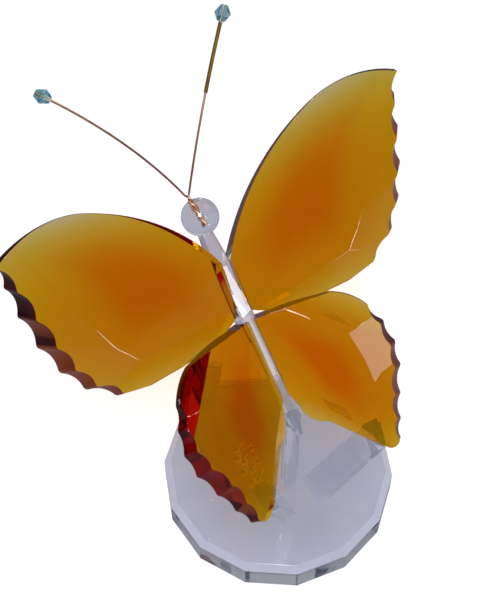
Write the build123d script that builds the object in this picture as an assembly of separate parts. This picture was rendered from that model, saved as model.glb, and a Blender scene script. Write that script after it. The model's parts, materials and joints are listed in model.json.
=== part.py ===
from build123d import *
import os
from math import cos, hypot, radians, sin

# A cut-glass butterfly ornament, glued up from separate pieces and set on a round faceted base.
# The origin is the centre of the base's underside, +Z is up, and the butterfly is mirrored about X = 0.
# Its head points to +Y and up. All lengths are in millimetres and all angles in degrees.

# Base: a clear disc with flat facets round its rim
base_across = 63.5
base_height = 10.0
base_bevel = 1.8
base_facets = 14
base_turn = 16.1

# Wing root: the point on the body's centre line where the forewings cross it
root_back = 24.7
root_height = 71.7

# Body: a tapered clear bar with sloping sides that the wings are glued to
body_lift = 37.1
body_front = 15.5
body_rear = 43.0
body_top_width = 3.2
body_side_width = 6.0
body_keel_width = 3.0
body_above = 2.4
body_below = 2.8
body_side_drop = 1.4
# distance along the body and size of its section, as shares of each end's length and of the full section
front_taper_shares = [(1.0, 0.62), (0.3, 1.0)]
rear_taper_shares = [(0.6, 0.86), (0.92, 0.6), (1.0, 0.3)]

# Head: a clear ball drilled for the wires
head_diameter = 9.6
head_ahead = 18.3
head_rise = 1.3

# Forewing plate, with shares of its span and chord for the outline
fore_lift = 58.2
fore_dihedral = 8.8
fore_span = 56.0
fore_chord = 53.0
fore_thickness = 6.0
fore_crown_radius = 105.0
fore_lead_shares = [(0.29, 0.51), (0.55, 0.71)]
fore_tip_share = (0.99, 0.70)
fore_cusp_shares = [(0.965, 0.565), (0.937, 0.39), (0.90, 0.21), (0.853, 0.05), (0.787, -0.09), (0.675, -0.2)]
fore_trail_shares = [(0.53, -0.24), (0.36, -0.245), (0.16, -0.22)]
fore_root_shares = [-0.14, 0.13]
fore_dip_share = 0.15
fore_cusp_radius = 1.6
# the edge walls slant: the lobed margin is wider below and the leading edge is wider above
fore_slant = 3.6
fore_lead_slant = 1.6
fore_centre_share = (0.40, 0.15)
fore_ridge_shares = [(0.05, -0.04), (0.86, 0.15)]
# upper facets: where each crease starts and ends, and how steeply the facet falls away from it
fore_crease_shares = [(0.15, -0.15), (0.56, -0.06), (0.635, 0.055), (0.83, 0.57)]
fore_facet_slopes = [15.0, 9.5, 6.5]

# Hindwing plate, with shares of its span and chord for the outline, measured from its own front corner
hind_start = -10.4
hind_dihedral = 17.7
hind_span = 32.5
hind_chord = 46.0
hind_thickness = 6.6
hind_crown_radius = 60.0
hind_lead_shares = [(0.41, -0.02), (0.67, -0.045)]
hind_shoulder_shares = [(0.80, -0.105), (0.90, -0.20)]
hind_cusp_shares = [(0.96, -0.32), (0.965, -0.46), (0.92, -0.59), (0.83, -0.73), (0.76, -0.86), (0.7, -0.96)]
hind_tail_shares = [(0.655, -0.995), (0.58, -0.975)]
hind_inner_share = (0.25, -0.70)
hind_bump_shares = [(0.15, -0.665), (0.095, -0.56)]
hind_dip_share = 0.14
hind_cusp_radius = 1.2
hind_slant = 2.6
hind_centre_share = (0.40, -0.42)
hind_root_shares = [-0.465, 0.0]
hind_ridge_shares = [(0.09, -0.02), (0.68, -0.56)]
# upper facets: a chain of creases from the tail to the front, one beside the body and one along the rim
hind_tail_crease_shares = [(0.185, -0.533), (0.523, -0.865), (0.69, -0.752), (0.695, -0.459)]
hind_tail_slopes = [30.0, 18.0, 10.0]
hind_front_crease_shares = [(0.695, -0.459), (0.665, -0.29), (0.30, -0.015)]
hind_front_slopes = [10.0, 12.0]
hind_inner_crease_shares = [(0.10, -0.03), (0.27, -0.57)]
hind_inner_slope = 9.0
hind_rim_crease_shares = [(0.85, -0.51), (0.835, -0.26)]
hind_rim_slope = 27.0
# the front is cut again from below, which makes the glass a prism there
hind_under_crease_shares = [(0.66, -0.31), (0.30, -0.015)]
hind_under_slope = 18.5

# Post under the tail, and the two sloping props that hold up the hindwings
post_across = 5.0
post_sides = 8
post_inset = 5.1
prop_width = 8.0
prop_thickness = 3.6
prop_foot_side = 4.9
prop_foot_back = -11.4
prop_top_share = (0.56, -0.88)

# Antennae: two springy wires from one shank, each with a faceted bead
shank_diameter = 1.2
shank_lift = 15.4
shank_stub = 1.2
shank_depth = 6.6
wire_diameter = 0.55
wire_gap = 0.45
antenna_spread = 24.6
antenna_forward = 23.3
antenna_rise = 30.8
antenna_bow = 4.0
bead_diameter = 4.2
bead_length = 4.0
bead_collar = 2.0
bead_sides = 6
sleeve_diameter = 1.05
sleeve_start_share = 0.57

# Fits: the glue line between glued faces, the play of a drilled hole, and how far a cut runs past its piece
glue_line = 0.08
hole_play = 0.1
overrun = 5.0

root_point = Vector(0, root_back, root_height)
body_along = Vector(0, cos(radians(body_lift)), sin(radians(body_lift)))
body_plane = Plane(origin=root_point, x_dir=(-1, 0, 0), z_dir=body_along)
head_radius = head_diameter / 2
head_centre = body_plane.from_local_coords((0, head_rise, head_ahead))
shank_along = Vector(0, cos(radians(shank_lift)), sin(radians(shank_lift)))
antenna_foot = head_centre + shank_along * (head_radius + shank_stub)
from_below = (Align.CENTER, Align.CENTER, Align.MIN)


def polygon_prism(across_corners, sides, height, turn):
    return extrude(RegularPolygon(across_corners / 2, sides, rotation=turn), amount=height)


# Base
def make_base():
    disc = polygon_prism(base_across, base_facets, base_height, base_turn)
    rim = disc.faces().sort_by(Axis.Z)[-1].edges()
    return chamfer(rim, base_bevel)


# Body, or the same bar grown on every side by the glue line, to cut its neighbours
def body_section(distance, size_share, grown):
    top = body_top_width / 2 * size_share + grown
    side = body_side_width / 2 * size_share + grown
    keel = body_keel_width / 2 * size_share + grown
    above = body_above * size_share + grown
    drop = -body_side_drop * size_share
    below = -body_below * size_share - grown
    half = [(top, above), (side, drop), (keel, below)]
    other_half = [(-x, y) for x, y in reversed(half)]
    return body_plane.offset(distance) * make_face(Polyline(*half, *other_half, close=True))


def make_body_bar(grown):
    stations = [(body_front * along, size) for along, size in front_taper_shares]
    stations += [(-body_rear * along, size) for along, size in rear_taper_shares]
    sections = [body_section(distance, size, grown) for distance, size in stations]
    return loft(sections, ruled=True)


def make_head():
    ball = Pos(head_centre) * Sphere(head_radius)
    drill_plane = Plane(origin=antenna_foot, z_dir=-shank_along)
    drill_depth = shank_stub + shank_depth
    drill = Cylinder((shank_diameter + hole_play) / 2, drill_depth, align=from_below)
    return ball - drill_plane * drill


def make_body():
    neck_seat = Pos(head_centre) * Sphere(head_radius + glue_line)
    return make_body_bar(0) - neck_seat


# Wings: drawn flat with x outwards and y towards the head, then set on the body
def wing_plane(lift, dihedral):
    tilt, lean = radians(dihedral), radians(lift)
    outwards = (cos(tilt), -sin(tilt) * sin(lean), sin(tilt) * cos(lean))
    upwards = (-sin(tilt), -cos(tilt) * sin(lean), cos(tilt) * cos(lean))
    return Plane(origin=root_point, x_dir=outwards, z_dir=upwards)


def scalloped_edge(cusps, dip_share):
    dips = []
    for start, end in zip(cusps, cusps[1:]):
        run = end - start
        inwards = Vector(run.Y, -run.X) * dip_share
        dips.append(ThreePointArc(start, (start + end) / 2 + inwards, end))
    return dips


def moved_in(point, centre, inset):
    return point + (centre - point).normalized() * inset


def rounded_outline(outline, cusps, radius):
    face = make_face(Wire(outline))
    corners = [face.vertices().sort_by_distance(cusp)[0] for cusp in cusps]
    return fillet(corners, radius)


# What a flat facet takes off: level is the height of its crease, above the plate's middle or below it
def facet_cut(start, end, slope, level, reach):
    run = (end - start).normalized()
    outwards = Vector(run.Y, -run.X) * sin(radians(slope))
    fall = outwards + Vector(0, 0, level).normalized() * cos(radians(slope))
    middle = (start + end) / 2 + Vector(0, 0, level)
    block = Box(reach, reach, reach, align=from_below)
    return Plane(origin=middle, x_dir=run, z_dir=fall) * block


def crown_drum(ridge, radius, level, reach):
    start, end = ridge
    axis_middle = (start + end) / 2 + Vector(0, 0, radius - level)
    return Plane(origin=axis_middle, z_dir=end - start) * Cylinder(radius, reach)


def cut_plate(under_face, upper_face, thickness, creases, drum, reach):
    sections = [Pos(0, 0, -thickness / 2) * under_face, Pos(0, 0, thickness / 2) * upper_face]
    plate = loft(sections, ruled=True) & drum
    for start, end, slope in creases:
        plate = plate - facet_cut(start, end, slope, thickness / 2, reach)
    return plate


def crease_list(points, slopes):
    return list(zip(points, points[1:], slopes))


def fore_point(share):
    return Vector(fore_span * share[0], fore_chord * share[1])


def hind_point(share):
    return Vector(hind_span * share[0], hind_start + hind_chord * share[1])


wing_gap = body_top_width / 2 + glue_line
fore_reach = 2 * hypot(fore_span, fore_chord)
hind_reach = 2 * hypot(hind_span, hind_chord)


def fore_face(margin_inset, lead_outset):
    centre = fore_point(fore_centre_share)
    front = Vector(wing_gap, fore_chord * fore_root_shares[1] + lead_outset)
    back = Vector(wing_gap, fore_chord * fore_root_shares[0])
    lead = [moved_in(fore_point(share), centre, -lead_outset) for share in fore_lead_shares]
    lead_arc = ThreePointArc(front, *lead)
    tip_arc = TangentArc(lead_arc @ 1, fore_point(fore_tip_share), tangent=lead_arc % 1)
    cusps = [moved_in(fore_point(share), centre, margin_inset) for share in fore_cusp_shares]
    trail = Polyline(cusps[-1], *[fore_point(share) for share in fore_trail_shares], back, front)
    dips = scalloped_edge([tip_arc @ 1] + cusps, fore_dip_share)
    return rounded_outline([lead_arc, tip_arc] + dips + trail.edges(), cusps, fore_cusp_radius)


def make_forewing():
    ridge = [fore_point(share) for share in fore_ridge_shares]
    drum = crown_drum(ridge, fore_crown_radius, fore_thickness / 2, fore_reach)
    creases = crease_list([fore_point(share) for share in fore_crease_shares], fore_facet_slopes)
    under_face = fore_face(-fore_slant / 2, -fore_lead_slant / 2)
    upper_face = fore_face(fore_slant / 2, fore_lead_slant / 2)
    plate = cut_plate(under_face, upper_face, fore_thickness, creases, drum, fore_reach)
    return wing_plane(fore_lift, fore_dihedral) * plate - make_body_bar(glue_line)


hind_ridge = [hind_point(share) for share in hind_ridge_shares]


def hind_drum(grown):
    return crown_drum(hind_ridge, hind_crown_radius + grown, hind_thickness / 2 + grown, hind_reach)


def hind_creases(shares, slopes):
    return crease_list([hind_point(share) for share in shares], slopes)


def hind_face(margin_inset):
    centre = hind_point(hind_centre_share)
    front = Vector(wing_gap, hind_start + hind_chord * hind_root_shares[1])
    back = Vector(wing_gap, hind_start + hind_chord * hind_root_shares[0])
    lead = Polyline(front, *[hind_point(share) for share in hind_lead_shares])
    shoulder = ThreePointArc(lead @ 1, *[hind_point(share) for share in hind_shoulder_shares])
    cusps = [moved_in(hind_point(share), centre, margin_inset) for share in hind_cusp_shares]
    tail = ThreePointArc(cusps[-1], *[hind_point(share) for share in hind_tail_shares])
    inner = Line(tail @ 1, hind_point(hind_inner_share))
    bump = ThreePointArc(inner @ 1, *[hind_point(share) for share in hind_bump_shares])
    root = Polyline(bump @ 1, back, front)
    dips = scalloped_edge([shoulder @ 1] + cusps, hind_dip_share)
    outline = lead.edges() + [shoulder] + dips + [tail, inner, bump] + root.edges()
    return rounded_outline(outline, cusps[:-1], hind_cusp_radius)


def make_hindwing():
    creases = hind_creases(hind_tail_crease_shares, hind_tail_slopes)
    creases += hind_creases(hind_front_crease_shares, hind_front_slopes)
    creases += hind_creases(hind_inner_crease_shares, [hind_inner_slope])
    creases += hind_creases(hind_rim_crease_shares, [hind_rim_slope])
    under_face, upper_face = hind_face(-hind_slant / 2), hind_face(hind_slant / 2)
    plate = cut_plate(under_face, upper_face, hind_thickness, creases, hind_drum(0), hind_reach)
    start, end = [hind_point(share) for share in hind_under_crease_shares]
    plate = plate - facet_cut(start, end, hind_under_slope, -hind_thickness / 2, hind_reach)
    return wing_plane(body_lift, hind_dihedral) * plate - make_body_bar(glue_line) - make_forewing()


# Supports
def make_post():
    seat = root_point - body_along * (body_rear - post_inset)
    post = polygon_prism(post_across, post_sides, seat.Z - base_height, 180 / post_sides)
    return Pos(0, seat.Y, base_height) * post - make_body_bar(glue_line)


def make_prop():
    hind_plane = wing_plane(body_lift, hind_dihedral)
    foot = Vector(prop_foot_side, prop_foot_back, base_height)
    top_flat = hind_point(prop_top_share)
    top = hind_plane.from_local_coords((top_flat.X, top_flat.Y, 0))
    run = top - foot
    bar = Box(prop_thickness, prop_width, run.length + 2 * overrun)
    bar = Plane(origin=(foot + top) / 2, x_dir=Vector(0, 1, 0).cross(run), z_dir=run) * bar
    floor = Box(base_across, base_across, base_across, align=(Align.CENTER, Align.CENTER, Align.MAX))
    return bar - Pos(0, 0, base_height) * floor - hind_plane * hind_drum(glue_line)


# Antennae
def make_shank():
    plane = Plane(origin=antenna_foot, z_dir=-shank_along)
    rod = Cylinder(shank_diameter / 2, shank_stub + shank_depth, align=from_below)
    return plane * rod


wire_foot = antenna_foot + shank_along * wire_gap + Vector(wire_diameter / 2 + wire_gap / 2, 0, 0)
bead_centre = antenna_foot + Vector(antenna_spread, antenna_forward, antenna_rise)
wire_middle = (wire_foot + bead_centre) / 2 + Vector(0, 0, antenna_bow)
wire_bend = ThreePointArc(wire_foot, wire_middle, bead_centre)
wire_end = bead_centre + (wire_bend % 1) * (bead_length / 2)
wire_path = Wire([wire_bend, Line(bead_centre, wire_end)])


def tube_along(path, radius):
    return sweep(Plane(origin=path @ 0, z_dir=path % 0) * Circle(radius), path=path)


def make_wire():
    return tube_along(wire_path, wire_diameter / 2)


def make_sleeve():
    bead_side = 1 - (bead_length / 2 + glue_line) / wire_bend.length
    span = wire_bend.trim(sleeve_start_share, bead_side)
    return tube_along(span, sleeve_diameter / 2) - tube_along(wire_bend, (wire_diameter + hole_play) / 2)


def make_bead():
    plane = Plane(origin=wire_end, z_dir=bead_centre - wire_end)
    collar = RegularPolygon(bead_collar / 2, bead_sides)
    waist = Pos(0, 0, bead_length / 2) * RegularPolygon(bead_diameter / 2, bead_sides)
    far_collar = Pos(0, 0, bead_length) * RegularPolygon(bead_collar / 2, bead_sides)
    bead = loft([collar, waist, far_collar], ruled=True)
    return plane * bead - tube_along(wire_path, (wire_diameter + hole_play) / 2)


pieces = {
    "base": make_base(),
    "post": make_post(),
    "body": make_body(),
    "head": make_head(),
    "antenna_shank": make_shank(),
    "right_antenna_sleeve": make_sleeve(),
}
mirrored_pieces = {
    "forewing": make_forewing(),
    "hindwing": make_hindwing(),
    "prop": make_prop(),
    "antenna_wire": make_wire(),
    "antenna_bead": make_bead(),
}
for name, piece in mirrored_pieces.items():
    pieces["right_" + name] = piece
    pieces["left_" + name] = mirror(piece, about=Plane.YZ)

os.makedirs("parts", exist_ok=True)
for name, piece in pieces.items():
    export_step(piece, f"parts/{name}.step")
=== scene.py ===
import json
import math

import bmesh
import bpy
from mathutils import Matrix, Vector
from mathutils.bvhtree import BVHTree
from mathutils.interpolate import poly_3d_calc

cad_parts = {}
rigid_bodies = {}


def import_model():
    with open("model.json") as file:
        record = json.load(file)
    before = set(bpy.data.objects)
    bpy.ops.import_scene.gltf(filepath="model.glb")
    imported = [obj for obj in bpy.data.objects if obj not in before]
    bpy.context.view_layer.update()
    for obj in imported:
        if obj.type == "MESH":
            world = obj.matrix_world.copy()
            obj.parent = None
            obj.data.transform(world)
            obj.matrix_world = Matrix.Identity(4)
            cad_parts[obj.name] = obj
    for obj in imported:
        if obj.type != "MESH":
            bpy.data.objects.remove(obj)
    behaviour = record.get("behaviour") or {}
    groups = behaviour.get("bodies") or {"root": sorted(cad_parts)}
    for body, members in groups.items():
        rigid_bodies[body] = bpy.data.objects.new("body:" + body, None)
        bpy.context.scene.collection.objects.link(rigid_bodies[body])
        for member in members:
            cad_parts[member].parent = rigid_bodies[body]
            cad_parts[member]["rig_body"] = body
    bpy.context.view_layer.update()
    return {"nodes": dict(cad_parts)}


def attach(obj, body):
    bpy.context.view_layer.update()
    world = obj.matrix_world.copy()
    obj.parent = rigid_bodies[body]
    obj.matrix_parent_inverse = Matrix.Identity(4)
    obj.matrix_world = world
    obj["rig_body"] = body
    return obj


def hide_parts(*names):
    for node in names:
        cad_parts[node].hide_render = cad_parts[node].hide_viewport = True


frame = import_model()
nodes = frame["nodes"]
scene = bpy.context.scene
scene.view_settings.view_transform = "Standard"
mm = 0.001                       # the scene is in metres, the pieces' sizes below are in millimetres
print("frame loaded:", len(nodes), "nodes")


def hexColour(text):
    # sRGB hex to a linear colour
    steps = [int(text[i:i + 2], 16) / 255 for i in (1, 3, 5)]
    return [s / 12.92 if s <= 0.04045 else ((s + 0.055) / 1.055) ** 2.4 for s in steps] + [1.0]


def addNode(tree, kind, inputs=None, **settings):
    # an input is a plain value, a socket, or a node that gives its first output
    node = tree.nodes.new(kind)
    for key, value in settings.items():
        setattr(node, key, value)
    for key, value in (inputs or {}).items():
        if isinstance(value, bpy.types.Node):
            value = value.outputs[0]
        if isinstance(value, bpy.types.NodeSocket):
            tree.links.new(value, node.inputs[key])
        else:
            node.inputs[key].default_value = value
    return node


def newMaterial(name):
    material = bpy.data.materials.new(name)
    material.use_nodes = True
    material.node_tree.nodes.clear()
    return material, material.node_tree


def linkPiece(name, mesh):
    piece = bpy.data.objects.new(name, mesh)
    scene.collection.objects.link(piece)
    return piece


def bakePiece(piece):
    # keeps what the modifiers make as a plain mesh
    mesh = bpy.data.meshes.new_from_object(piece.evaluated_get(bpy.context.evaluated_depsgraph_get()))
    piece.modifiers.clear()
    piece.data = mesh
    return mesh


def smoothFaces(mesh):
    mesh.polygons.foreach_set("use_smooth", [True] * len(mesh.polygons))


def surfaceTree(mesh):
    # finds the nearest place on a mesh
    mesh.calc_loop_triangles()
    triangles = [tuple(t.vertices) for t in mesh.loop_triangles]
    return BVHTree.FromPolygons([v.co for v in mesh.vertices], triangles)


def settle(piece, slot, cadName):
    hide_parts(cadName)
    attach(piece, nodes[cadName]["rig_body"])


# Glass finishes: a shade is the colour that the tint turns to where a piece's attribute of that name is 1,
# and light that has gone as far as depth inside the glass has taken on the absorb colour
# the clear crystal's grey shade is painted shade, laid on the base's top and greyer towards its middle
clearCrystal = dict(name="leadCrystal", ior=1.54, rough=(0.0, 0.02), tint="#F0F4F8",
                    shades={"depthAndShade": "#BCC2C2"}, absorb="#E6E8EC", depth=40.0,
                    ripple=11.0, rippleHeight=0.014)
amberGlass = dict(name="amberPotGlass", ior=1.52, rough=(0.0, 0.03), tint="#F6F1C8",
                  shades={"depthAndShade": "#F69844", "wall": "#6A1E1C"}, absorb="#F5AC09", depth=6.0,
                  ripple=8.0, rippleHeight=0.03)
aquaGlass = dict(name="aquaBeadGlass", ior=1.52, rough=(0.0, 0.05), tint="#E6F4F6",
                 shades={}, absorb="#BFE0E8", depth=3.0, ripple=3.0, rippleHeight=0.004)
polish = dict(markSize=2.5, markDetail=5.0, marksFrom=0.45, marksFull=0.8, rippleDetail=1.0,
              shadeFull=0.75, leastLight=0.002, headroom=1.02)


def glassMaterial(look):
    # cut and polished glass: flat facets with faint grinding ripples, finger marks that dull the gloss,
    # and a colour that deepens with the length of glass looked through; lamps shine through it to the floor
    material, tree = newMaterial(look["name"])
    place = addNode(tree, "ShaderNodeTexCoord").outputs["Object"]
    ripple = addNode(tree, "ShaderNodeTexNoise", {
        "Vector": place, "Scale": 1 / (look["ripple"] * mm), "Detail": polish["rippleDetail"]})
    bump = addNode(tree, "ShaderNodeBump", {
        "Height": ripple.outputs["Fac"], "Strength": 1.0, "Distance": look["rippleHeight"] * mm})
    marks = addNode(tree, "ShaderNodeTexNoise", {
        "Vector": place, "Scale": 1 / (polish["markSize"] * mm), "Detail": polish["markDetail"]})
    gloss = addNode(tree, "ShaderNodeMapRange", {
        "Value": marks.outputs["Fac"], "From Min": polish["marksFrom"], "From Max": polish["marksFull"],
        "To Min": look["rough"][0], "To Max": look["rough"][1]})
    colour = hexColour(look["tint"])
    # each shade is laid where the piece's attribute asks for it; the clear crystal's grey one is painted shade
    for mark, shade in look["shades"].items():
        share = addNode(tree, "ShaderNodeAttribute", attribute_name=mark).outputs["Fac"]
        fade = addNode(tree, "ShaderNodeMapRange", {"Value": share, "From Max": polish["shadeFull"]},
                       interpolation_type="SMOOTHSTEP")
        colour = addNode(tree, "ShaderNodeMix", {"Factor": fade, 6: colour, 7: hexColour(shade)},
                         data_type="RGBA").outputs[2]
    skin = addNode(tree, "ShaderNodeBsdfPrincipled", {
        "Base Color": colour, "IOR": look["ior"], "Transmission Weight": 1.0,
        "Roughness": gloss, "Normal": bump})
    shadow = addNode(tree, "ShaderNodeLightPath").outputs["Is Shadow Ray"]
    glued = addNode(tree, "ShaderNodeAttribute", attribute_name="glued").outputs["Fac"]   # hidden by clear glue
    unseen = addNode(tree, "ShaderNodeMath", {0: shadow, 1: glued}, operation="MAXIMUM")
    clear = addNode(tree, "ShaderNodeBsdfTransparent")
    both = addNode(tree, "ShaderNodeMixShader", {0: unseen, 1: skin, 2: clear})
    reached = [max(part, polish["leastLight"]) for part in hexColour(look["absorb"])[:3]]
    loss = [-math.log(part) / (look["depth"] * mm) for part in reached]       # per metre
    density = max(loss) * polish["headroom"]
    body = addNode(tree, "ShaderNodeVolumeAbsorption", {
        "Color": [1 - part / density for part in loss] + [1.0], "Density": density})
    addNode(tree, "ShaderNodeOutputMaterial", {"Surface": both, "Volume": body})
    return material


# Wire finishes: stain and drawLine are the sizes of the tarnish patches and of the drawn lines
copperWire = dict(name="drawnCopperWire", bright="#DDB08A", dark="#B58765", stain=2.2, stainDetail=3.0,
                  drawLine=0.12, lineDetail=1.0, lineHeight=0.01, lineBump=0.4, rough=(0.28, 0.5))
bronzeThread = dict(copperWire, name="bronzeWinding", bright="#C6962E", dark="#6E4A16", stain=5.0, drawLine=0.2)


def wireMaterial(look):
    # drawn wire, tarnished in patches: a soft metal gloss with fine lines and browner stains
    material, tree = newMaterial(look["name"])
    place = addNode(tree, "ShaderNodeTexCoord").outputs["Object"]
    stain = addNode(tree, "ShaderNodeTexNoise", {
        "Vector": place, "Scale": 1 / (look["stain"] * mm), "Detail": look["stainDetail"]}).outputs["Fac"]
    lines = addNode(tree, "ShaderNodeTexNoise", {
        "Vector": place, "Scale": 1 / (look["drawLine"] * mm), "Detail": look["lineDetail"]}).outputs["Fac"]
    colour = addNode(tree, "ShaderNodeMix", {
        "Factor": stain, 6: hexColour(look["bright"]), 7: hexColour(look["dark"])}, data_type="RGBA").outputs[2]
    gloss = addNode(tree, "ShaderNodeMapRange", {
        "Value": lines, "To Min": look["rough"][0], "To Max": look["rough"][1]})
    bump = addNode(tree, "ShaderNodeBump", {
        "Height": lines, "Strength": look["lineBump"], "Distance": look["lineHeight"] * mm})
    skin = addNode(tree, "ShaderNodeBsdfPrincipled", {
        "Base Color": colour, "Metallic": 1.0, "Roughness": gloss, "Normal": bump})
    addNode(tree, "ShaderNodeOutputMaterial", {"Surface": skin})
    return material


glassOf = {"clear_glass": glassMaterial(clearCrystal), "amber_glass": glassMaterial(amberGlass),
           "aqua_glass": glassMaterial(aquaGlass)}
wireOf = {"copper_wire": wireMaterial(copperWire), "bronze_winding": wireMaterial(bronzeThread)}
print("materials made:", len(glassOf) + len(wireOf))

# Cut glass pieces: the CAD solids with each flat facet made one face and the edges ground off by bevel
# on the base the deepened tint is painted shade, greyer towards the middle of its top; on the wings it follows
# the thicker glass
glassPieces = {"base": dict(slot="clear_glass", bevel=0.25, depthAndShadeAtEdge=0.45),
               "post": dict(slot="clear_glass", bevel=0.15, gluedTo=("body", "base")),
               "body": dict(slot="clear_glass", bevel=0.12, gluedTo=("head",))}
for side in ("left_", "right_"):
    glassPieces[side + "prop"] = dict(slot="clear_glass", bevel=0.2, gluedTo=(side + "hindwing", "base"))
for side in ("left_", "right_"):
    fore, hind = side + "forewing", side + "hindwing"
    glassPieces[fore] = dict(slot="amber_glass", bevel=0.25, gluedTo=("body",), depthAndShadeAtEdge=0.0)
    glassPieces[hind] = dict(slot="amber_glass", bevel=0.25, gluedTo=("body", fore), depthAndShadeAtEdge=0.0)
    glassPieces[side + "antenna_bead"] = dict(slot="aqua_glass", bevel=0.06)
# angles are in degrees, and a lean is the cosine between a direction and the plate's thickness
cutEdges = dict(weld=0.002, flatWithin=0.1, creaseFrom=6.0, wallCreaseFrom=50.0, segments=2, rimShare=0.45,
                wallLean=0.75, uprightLean=0.6, undersideLean=-0.5, upperFrom=0.3)
cadLook = dict(reach=0.4, insetShare=0.02, farCost=0.05, sameWay=0.5)
glueLine = dict(reach=0.11, sink=0.03, facing=-0.3)


def cadNormals(mesh):
    # finds the CAD surface's own direction near a point, on the side that faces the same way
    tree = surfaceTree(mesh)
    corners = [v.co.copy() for v in mesh.vertices]
    triangles = [tuple(t.vertices) for t in mesh.loop_triangles]
    loops = [tuple(t.loops) for t in mesh.loop_triangles]
    normals = [n.vector.copy() for n in mesh.corner_normals]
    reach = cadLook["reach"] * mm

    def look(point, facing):
        near = tree.find_nearest_range(point, reach)
        if not near:
            return facing
        best = max(near, key=lambda hit: hit[1].dot(facing) - cadLook["farCost"] * hit[3] / reach)
        place, triangle = best[0], best[2]
        shares = poly_3d_calc([corners[i] for i in triangles[triangle]], place)
        found = sum((normals[i] * share for i, share in zip(loops[triangle], shares)), Vector())
        return found.normalized() if found.dot(facing) > cadLook["sameWay"] else facing

    return look


def weighCreases(edit, across, look, wing):
    # every crease is ground, a rim less than the rest, but a wing's underside keeps its sharp edge
    weight = edit.edges.layers.float.new("bevel_weight_edge")
    for edge in edit.edges:
        leans = [face.normal.dot(across) for face in edge.link_faces]
        if len(leans) != 2 or (wing and min(leans) < cutEdges["undersideLean"]):
            continue
        start, end = [vertex.co for vertex in edge.verts]
        upright = abs((end - start).normalized().dot(across)) > cutEdges["uprightLean"]
        middle = (start + end) / 2
        sides = [look(middle.lerp(face.calc_center_median(), cadLook["insetShare"]), face.normal)
                 for face in edge.link_faces]
        limit = cutEdges["wallCreaseFrom"] if upright else cutEdges["creaseFrom"]
        if math.degrees(sides[0].angle(sides[1])) > limit:
            rim = min(abs(lean) for lean in leans) < cutEdges["wallLean"]
            edge[weight] = cutEdges["rimShare"] if rim else 1.0


def closeGlue(mesh, others):
    # glue wets both faces and hides the gap, so the facing side goes a hair into its neighbour
    moved = set()
    for other in others:
        tree = surfaceTree(nodes[other].data)
        outwards = [v.normal.copy() for v in mesh.vertices]
        for vertex, out in zip(mesh.vertices, outwards):
            place, facing, _, distance = tree.find_nearest(vertex.co, glueLine["reach"] * mm)
            if place and facing.dot(out) < glueLine["facing"]:
                vertex.co += out * (distance + glueLine["sink"] * mm)
                moved.add(vertex.index)
    return moved


def markFaces(mesh, name, marked):
    # an attribute that is 1 on the marked faces, for the glass to read
    mesh.attributes.new(name, "FLOAT", "FACE").data.foreach_set("value", [float(mark) for mark in marked])


def markMiddle(mesh, edgeShade):
    # the widest upper facet's tint turns from its edge to its middle: on a wing it lies over the thickest glass
    # and deepens there, and on the base, whose clear glass is even, the grey middle is painted shade
    edit = bmesh.new()
    edit.from_mesh(mesh)
    depthAndShade = edit.verts.layers.float.new("depthAndShade")
    widest = max(edit.faces, key=lambda face: face.calc_area() * (face.normal.z > cutEdges["upperFrom"]))
    for vertex in widest.verts:
        vertex[depthAndShade] = edgeShade
    for vertex in bmesh.ops.poke(edit, faces=[widest], center_mode="MEAN_WEIGHTED")["verts"]:
        vertex[depthAndShade] = 1.0
    edit.to_mesh(mesh)
    edit.free()


def trueNormals(mesh, look):
    # facets keep the CAD's directions right up to their edges, and the ground edges turn from one to the next
    facets = [face for face in mesh.polygons if face.material_index == 0]
    ground = [face for face in mesh.polygons if face.material_index == 1]
    facing = [None] * len(mesh.loops)
    atFacets, atGround = {}, {}
    for face in facets:
        for corner in face.loop_indices:
            vertex = mesh.loops[corner].vertex_index
            place = mesh.vertices[vertex].co.lerp(face.center, cadLook["insetShare"])
            facing[corner] = look(place, face.normal)
            atFacets.setdefault(vertex, Vector()).xyz += facing[corner]
    for face in ground:
        for vertex in face.vertices:
            atGround.setdefault(vertex, Vector()).xyz += face.normal
    for face in ground:
        for corner in face.loop_indices:
            vertex = mesh.loops[corner].vertex_index
            facing[corner] = atFacets.get(vertex, atGround[vertex]).normalized()
    mesh.polygons.foreach_set("material_index", [0] * len(mesh.polygons))
    mesh.materials.pop(index=1)
    mesh.normals_split_custom_set(facing)


def cutGlass(name, slot, bevel, gluedTo=(), depthAndShadeAtEdge=None):
    wing = slot == "amber_glass"
    look = cadNormals(nodes[name].data)
    mesh = nodes[name].data.copy()
    mesh.materials.clear()
    mesh.materials.append(glassOf[slot])
    mesh.materials.append(glassOf[slot])       # the second slot marks the ground edges for a while
    edit = bmesh.new()
    edit.from_mesh(mesh)
    bmesh.ops.remove_doubles(edit, verts=edit.verts, dist=cutEdges["weld"] * mm)
    bmesh.ops.dissolve_limit(edit, angle_limit=math.radians(cutEdges["flatWithin"]),
                             verts=edit.verts, edges=edit.edges)
    across = max(edit.faces, key=lambda face: face.calc_area()).normal.copy()     # the way a plate is thick
    weighCreases(edit, across, look, wing)
    edit.to_mesh(mesh)
    edit.free()
    smoothFaces(mesh)
    piece = linkPiece(name + ".cut", mesh)
    grind = piece.modifiers.new("ground edges", "BEVEL")
    grind.limit_method = "WEIGHT"
    grind.width = bevel * mm
    grind.segments = cutEdges["segments"]
    grind.use_clamp_overlap = False
    grind.material = 1
    mesh = bakePiece(piece)
    glued = closeGlue(mesh, gluedTo)
    if slot == "clear_glass":
        markFaces(mesh, "glued", [glued.issuperset(face.vertices) for face in mesh.polygons])
    if depthAndShadeAtEdge is not None:
        markMiddle(mesh, depthAndShadeAtEdge)
    if wing:
        markFaces(mesh, "wall", [abs(face.normal.dot(across)) < cutEdges["wallLean"] for face in mesh.polygons])
    trueNormals(mesh, look)
    settle(piece, slot, name)


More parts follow.
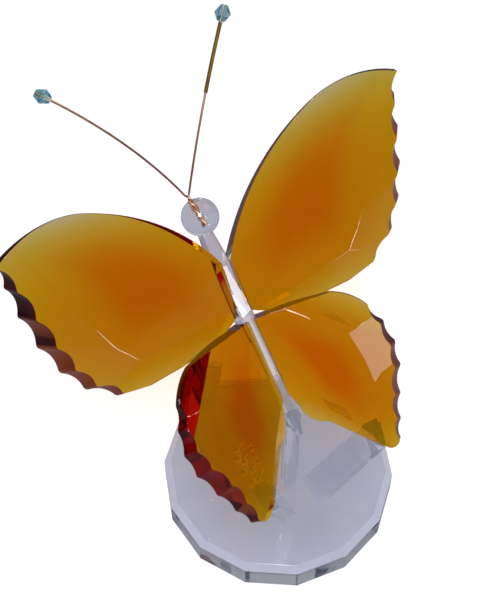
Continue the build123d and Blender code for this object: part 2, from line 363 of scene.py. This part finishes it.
for name, make in glassPieces.items():
    cutGlass(name, **make)
print("glass pieces cut:", len(glassPieces))

# Head: the drilled hole is full of glue, so the ball is drawn whole with the twisted wires inside it
headBall = dict(centre=(0.0, 38.51, 83.78), radius=4.8, around=96, rings=48)


def makeHead():
    edit = bmesh.new()
    bmesh.ops.create_uvsphere(edit, u_segments=headBall["around"], v_segments=headBall["rings"],
                              radius=headBall["radius"] * mm)
    bmesh.ops.translate(edit, verts=edit.verts, vec=Vector(headBall["centre"]) * mm)
    mesh = bpy.data.meshes.new("head")
    edit.to_mesh(mesh)
    edit.free()
    smoothFaces(mesh)
    mesh.materials.append(glassOf["clear_glass"])
    settle(linkPiece("head.ball", mesh), "clear_glass", "head")


makeHead()
print("head made")


def growPiece(name, title, values, build, material):
    # builds a node tree with a named input for each value, runs it once and keeps the result as a plain mesh
    tree = bpy.data.node_groups.new(title, "GeometryNodeTree")
    kinds = {float: "NodeSocketFloat", int: "NodeSocketInt", Vector: "NodeSocketVector"}
    keys = {}
    tree.interface.new_socket("Geometry", in_out="INPUT", socket_type="NodeSocketGeometry")
    for key, value in values.items():
        keys[key] = tree.interface.new_socket(key, in_out="INPUT", socket_type=kinds[type(value)]).identifier
    tree.interface.new_socket("Geometry", in_out="OUTPUT", socket_type="NodeSocketGeometry")
    grown = build(tree, addNode(tree, "NodeGroupInput").outputs)
    smooth = addNode(tree, "GeometryNodeSetShadeSmooth", {"Geometry": grown})
    whole = addNode(tree, "GeometryNodeRealizeInstances", {"Geometry": smooth})
    painted = addNode(tree, "GeometryNodeSetMaterial", {"Geometry": whole, "Material": material})
    addNode(tree, "NodeGroupOutput", {"Geometry": painted})
    piece = linkPiece(name, bpy.data.meshes.new(title))
    step = piece.modifiers.new("grow", "NODES")
    step.node_group = tree
    for key, value in values.items():
        step[keys[key]] = value
    bakePiece(piece)
    return piece


# Glue drops: clear beads that hang under the left hindwing above its prop
glueDrops = dict(spread=2.6, stretch=2.1, towards=8.0, apart=1.25, crowd=4e6, small=0.35, large=0.9,
                 below=0.02, seed=4, patchSides=32, ballSteps=4)


def dropTree(tree, given):
    disc = addNode(tree, "GeometryNodeMeshCircle", {
        "Vertices": glueDrops["patchSides"], "Radius": given["Spread"]}, fill_type="NGON")
    patch = addNode(tree, "GeometryNodeTransform", {"Geometry": disc, "Scale": given["Stretch"]})
    spots = addNode(tree, "GeometryNodeDistributePointsOnFaces", {
        "Mesh": patch, "Distance Min": given["Apart"], "Density Max": given["Crowd"],
        "Seed": given["Seed"]}, distribute_method="POISSON")
    ball = addNode(tree, "GeometryNodeMeshIcoSphere", {
        "Radius": given["Unit"], "Subdivisions": glueDrops["ballSteps"]})
    size = addNode(tree, "FunctionNodeRandomValue", {
        2: given["Small"], 3: given["Large"], "Seed": given["Seed"]}, data_type="FLOAT")
    drops = addNode(tree, "GeometryNodeInstanceOnPoints", {
        "Points": spots, "Instance": ball, "Scale": size.outputs[1]})
    return addNode(tree, "GeometryNodeTransform", {
        "Geometry": drops, "Translation": given["Centre"], "Rotation": given["Turn"]})


def makeDrops(prop, wing):
    surface = surfaceTree(nodes[wing].data)
    reach = glueLine["reach"] * mm
    near = [v.co for v in nodes[prop].data.vertices if surface.find_nearest(v.co, reach)[0]]
    end = sum(near, Vector()) / len(near)
    out = surface.find_nearest(end)[1]
    corners = [Vector(corner) for corner in nodes[wing].bound_box]
    along = sum(corners, Vector()) / len(corners) - end
    along = (along - out * along.dot(out)).normalized()
    place = surface.find_nearest(end + along * glueDrops["towards"] * mm)[0]
    turn = Matrix((along, out.cross(along), out)).transposed().to_euler()
    values = {"Centre": place + out * (glueDrops["large"] + glueDrops["below"]) * mm, "Turn": Vector(turn),
              "Spread": glueDrops["spread"] * mm, "Stretch": Vector((glueDrops["stretch"], 1.0, 1.0)),
              "Apart": glueDrops["apart"] * mm, "Crowd": glueDrops["crowd"], "Small": glueDrops["small"],
              "Large": glueDrops["large"], "Unit": mm, "Seed": glueDrops["seed"]}
    piece = growPiece(wing + ".glueDrops", "glueDrops", values, dropTree, glassOf["clear_glass"])
    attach(piece, nodes[wing]["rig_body"])


makeDrops("left_prop", "left_hindwing")
print("glue drops made")

# Antenna shank: the feet of both wires, twisted together where they leave the head
twist = dict(foot=(0.0, 44.30, 85.37), lift=15.4, length=7.8, past=0.4, strand=0.27, apart=0.28, turns=2.5,
             stepsPerTurn=24, strandSides=12)


def twistTree(tree, given):
    line = addNode(tree, "GeometryNodeCurveSpiral", {
        "Resolution": twist["stepsPerTurn"], "Rotations": given["Turns"], "Start Radius": given["Apart"],
        "End Radius": given["Apart"], "Height": given["Length"]})
    ring = addNode(tree, "GeometryNodeCurvePrimitiveCircle", {
        "Resolution": twist["strandSides"], "Radius": given["Strand"]})
    strand = addNode(tree, "GeometryNodeCurveToMesh", {"Curve": line, "Profile Curve": ring, "Fill Caps": True})
    other = addNode(tree, "GeometryNodeTransform", {"Geometry": strand, "Rotation": (0, 0, math.pi)})
    pair = addNode(tree, "GeometryNodeJoinGeometry", {"Geometry": strand})
    tree.links.new(other.outputs[0], pair.inputs["Geometry"])
    return addNode(tree, "GeometryNodeTransform", {
        "Geometry": pair, "Translation": given["Start"], "Rotation": given["Turn"]})


def makeTwist():
    lift = math.radians(twist["lift"])
    along = Vector((0, math.cos(lift), math.sin(lift)))
    values = {"Start": (Vector(twist["foot"]) - along * twist["length"]) * mm,
              "Turn": Vector((lift - math.pi / 2, 0.0, 0.0)), "Turns": twist["turns"],
              "Length": (twist["length"] + twist["past"]) * mm, "Apart": twist["apart"] * mm,
              "Strand": twist["strand"] * mm}
    piece = growPiece("antenna_shank.twist", "twistedPair", values, twistTree, wireOf["copper_wire"])
    settle(piece, "copper_wire", "antenna_shank")


# Antenna sleeve: a thread wound closely round the right wire, which bows upwards from foot to tip
winding = dict(foot=(0.5, 44.73, 85.488), tip=(24.6, 67.60, 116.17), bow=4.0, start=0.57, end=0.95,
               thread=0.11, around=0.41, pitch=0.215, stepsPerTurn=10, arcSteps=64, threadSides=6)


def windingTree(tree, given):
    arc = addNode(tree, "GeometryNodeCurveArc", {
        "Start": given["Foot"], "Middle": given["Middle"], "End": given["Tip"],
        "Resolution": winding["arcSteps"]}, mode="POINTS")
    part = addNode(tree, "GeometryNodeTrimCurve", {"Curve": arc, 2: given["From"], 3: given["To"]})
    fine = addNode(tree, "GeometryNodeResampleCurve", {"Curve": part, "Count": given["Points"]})
    index = addNode(tree, "GeometryNodeInputIndex")
    angle = addNode(tree, "ShaderNodeMath", {0: index, 1: given["Step"]}, operation="MULTIPLY")
    side = addNode(tree, "GeometryNodeInputNormal")
    along = addNode(tree, "GeometryNodeInputTangent")
    over = addNode(tree, "ShaderNodeVectorMath", {0: along, 1: side}, operation="CROSS_PRODUCT")
    shifts = []
    for wave, way in (("COSINE", side), ("SINE", over)):
        swing = addNode(tree, "ShaderNodeMath", {0: angle}, operation=wave)
        far = addNode(tree, "ShaderNodeMath", {0: swing, 1: given["Around"]}, operation="MULTIPLY")
        shifts.append(addNode(tree, "ShaderNodeVectorMath", {0: way, "Scale": far}, operation="SCALE"))
    shift = addNode(tree, "ShaderNodeVectorMath", {0: shifts[0], 1: shifts[1]}, operation="ADD")
    coil = addNode(tree, "GeometryNodeSetPosition", {"Geometry": fine, "Offset": shift})
    ring = addNode(tree, "GeometryNodeCurvePrimitiveCircle", {
        "Resolution": winding["threadSides"], "Radius": given["Thread"]})
    return addNode(tree, "GeometryNodeCurveToMesh", {"Curve": coil, "Profile Curve": ring, "Fill Caps": True})


def makeWinding():
    foot, tip = Vector(winding["foot"]), Vector(winding["tip"])
    middle = (foot + tip) / 2 + Vector((0, 0, winding["bow"]))
    turns = (tip - foot).length * (winding["end"] - winding["start"]) / winding["pitch"]
    values = {"Foot": foot * mm, "Middle": middle * mm, "Tip": tip * mm,
              "From": winding["start"], "To": winding["end"],
              "Points": int(turns * winding["stepsPerTurn"]), "Step": 2 * math.pi / winding["stepsPerTurn"],
              "Around": winding["around"] * mm, "Thread": winding["thread"] * mm}
    piece = growPiece("right_antenna_sleeve.winding", "closeWinding", values, windingTree,
                      wireOf["bronze_winding"])
    settle(piece, "bronze_winding", "right_antenna_sleeve")


makeTwist()
makeWinding()
for name in ("left_antenna_wire", "right_antenna_wire"):      # the CAD wires stay as they are, in copper
    nodes[name].data.materials.clear()
    nodes[name].data.materials.append(wireOf["copper_wire"])
print("wires made")

# Studio, in metres: a pale paper floor that keeps a soft shadow, a dim room, and soft boxes that are seen
# only where the glass mirrors them
studio = dict(floorSize=6.0, floorDrop=0.05 * mm, paper="#AEACBB", white="#FFFFFF", glow=0.6, inGlass=0.7,
              behindGlass=1.2, mirrored=0.12, aim=(0.0, 0.02, 0.05), bounces=32)
softBoxes = [dict(at=(-0.247, -0.353, 1.066), size=(0.4, 0.4), power=11.6),        # large one overhead
             dict(at=(0.7, 0.25, 0.7), size=(0.6, 0.6), power=1.5),                # weak one at the side
             dict(at=(0.142, -0.455, 0.041), size=(0.078, 0.03), power=0.07),      # low strip on the creases
             dict(at=(0.049, -0.187, 0.236), size=(0.05, 0.05), power=0.024),      # right hindwing's facet
             dict(at=(0.065, -0.16, 0.01), size=(0.05, 0.05), power=0.016),        # right forewing's facet
             dict(at=(0.0937, -0.2162, 0.31), size=(0.02, 0.05), power=0.028)]     # along the body
roomLevel = 0.02
roomSeen = {"Is Camera Ray": 1.0, "Is Transmission Ray": 0.6, "Is Diffuse Ray": 0.25}    # brighter for these


def makeFloor():
    half = studio["floorSize"] / 2
    low = -studio["floorDrop"]
    mesh = bpy.data.meshes.new("floor")
    corners = [(-half, -half, low), (half, -half, low), (half, half, low), (-half, half, low)]
    mesh.from_pydata(corners, [], [(0, 1, 2, 3)])
    # matt paper, lit to white where the camera sees it plainly
    material, tree = newMaterial("palePaperSweep")
    path = addNode(tree, "ShaderNodeLightPath").outputs
    colour = hexColour(studio["paper"])
    paper = addNode(tree, "ShaderNodeBsdfDiffuse", {"Color": colour})
    glow = addNode(tree, "ShaderNodeMath", {0: path["Is Camera Ray"], 1: studio["glow"]}, operation="MULTIPLY")
    white = addNode(tree, "ShaderNodeEmission", {"Color": hexColour(studio["white"]), "Strength": glow})
    plain = addNode(tree, "ShaderNodeAddShader", {0: paper, 1: white})
    level = addNode(tree, "ShaderNodeMath", {
        0: path["Is Transmission Ray"], 1: studio["behindGlass"] - studio["mirrored"], 2: studio["mirrored"]},
        operation="MULTIPLY_ADD")
    pale = addNode(tree, "ShaderNodeEmission", {"Color": colour, "Strength": level})
    share = addNode(tree, "ShaderNodeMath", {0: path["Is Glossy Ray"], 1: studio["inGlass"]},
                    operation="MULTIPLY")
    both = addNode(tree, "ShaderNodeMixShader", {0: share, 1: plain, 2: pale})
    addNode(tree, "ShaderNodeOutputMaterial", {"Surface": both})
    mesh.materials.append(material)
    linkPiece("floor", mesh)


def makeLamps():
    for number, box in enumerate(softBoxes):
        light = bpy.data.lights.new("softBox" + str(number), "AREA")
        light.shape = "RECTANGLE"
        light.size, light.size_y = box["size"]
        light.energy = box["power"]
        lamp = bpy.data.objects.new(light.name, light)
        lamp.location = box["at"]
        aim = Vector(studio["aim"]) - lamp.location
        lamp.rotation_euler = aim.to_track_quat("-Z", "Y").to_euler()
        lamp.visible_camera = False
        lamp.visible_transmission = False
        scene.collection.objects.link(lamp)


def makeRoom():
    world = bpy.data.worlds.new("dimRoom")
    scene.world = world
    world.use_nodes = True
    tree = world.node_tree
    tree.nodes.clear()
    path = addNode(tree, "ShaderNodeLightPath").outputs
    level = roomLevel
    for ray, seen in roomSeen.items():
        level = addNode(tree, "ShaderNodeMath", {0: path[ray], 1: seen - roomLevel, 2: level},
                        operation="MULTIPLY_ADD")
    room = addNode(tree, "ShaderNodeBackground", {"Color": hexColour(studio["white"]), "Strength": level})
    addNode(tree, "ShaderNodeOutputWorld", {"Surface": room})


# Camera: the angle, distance and lens that the photograph was taken with
view = dict(turn=-31.58, height=58.66, distance=439.93, right=-7.79, up=50.38, pixels=1555.0, frameWidth=500.0,
            sensor=36.0, nearest=10.0)


def makeCamera():
    turn, height = math.radians(view["turn"]), math.radians(view["height"])
    across = Vector((math.cos(turn), math.sin(turn), 0))
    back = Vector((math.sin(turn) * math.cos(height), -math.cos(turn) * math.cos(height), math.sin(height)))
    upwards = back.cross(across)
    data = bpy.data.cameras.new("photoCamera")
    data.sensor_fit = "HORIZONTAL"
    data.sensor_width = view["sensor"]
    data.lens = view["sensor"] * view["pixels"] / view["frameWidth"]
    data.clip_start = view["nearest"] * mm
    camera = bpy.data.objects.new("photoCamera", data)
    place = (across * view["right"] + upwards * view["up"] + back * view["distance"]) * mm
    turned = Matrix((across, upwards, back)).transposed().to_4x4()
    camera.matrix_world = Matrix.Translation(place) @ turned
    scene.collection.objects.link(camera)
    scene.camera = camera


makeFloor()
makeLamps()
makeRoom()
makeCamera()
for kind in ("max_bounces", "transmission_bounces", "glossy_bounces"):
    setattr(scene.cycles, kind, studio["bounces"])      # light turns many times inside cut glass
print("studio set")
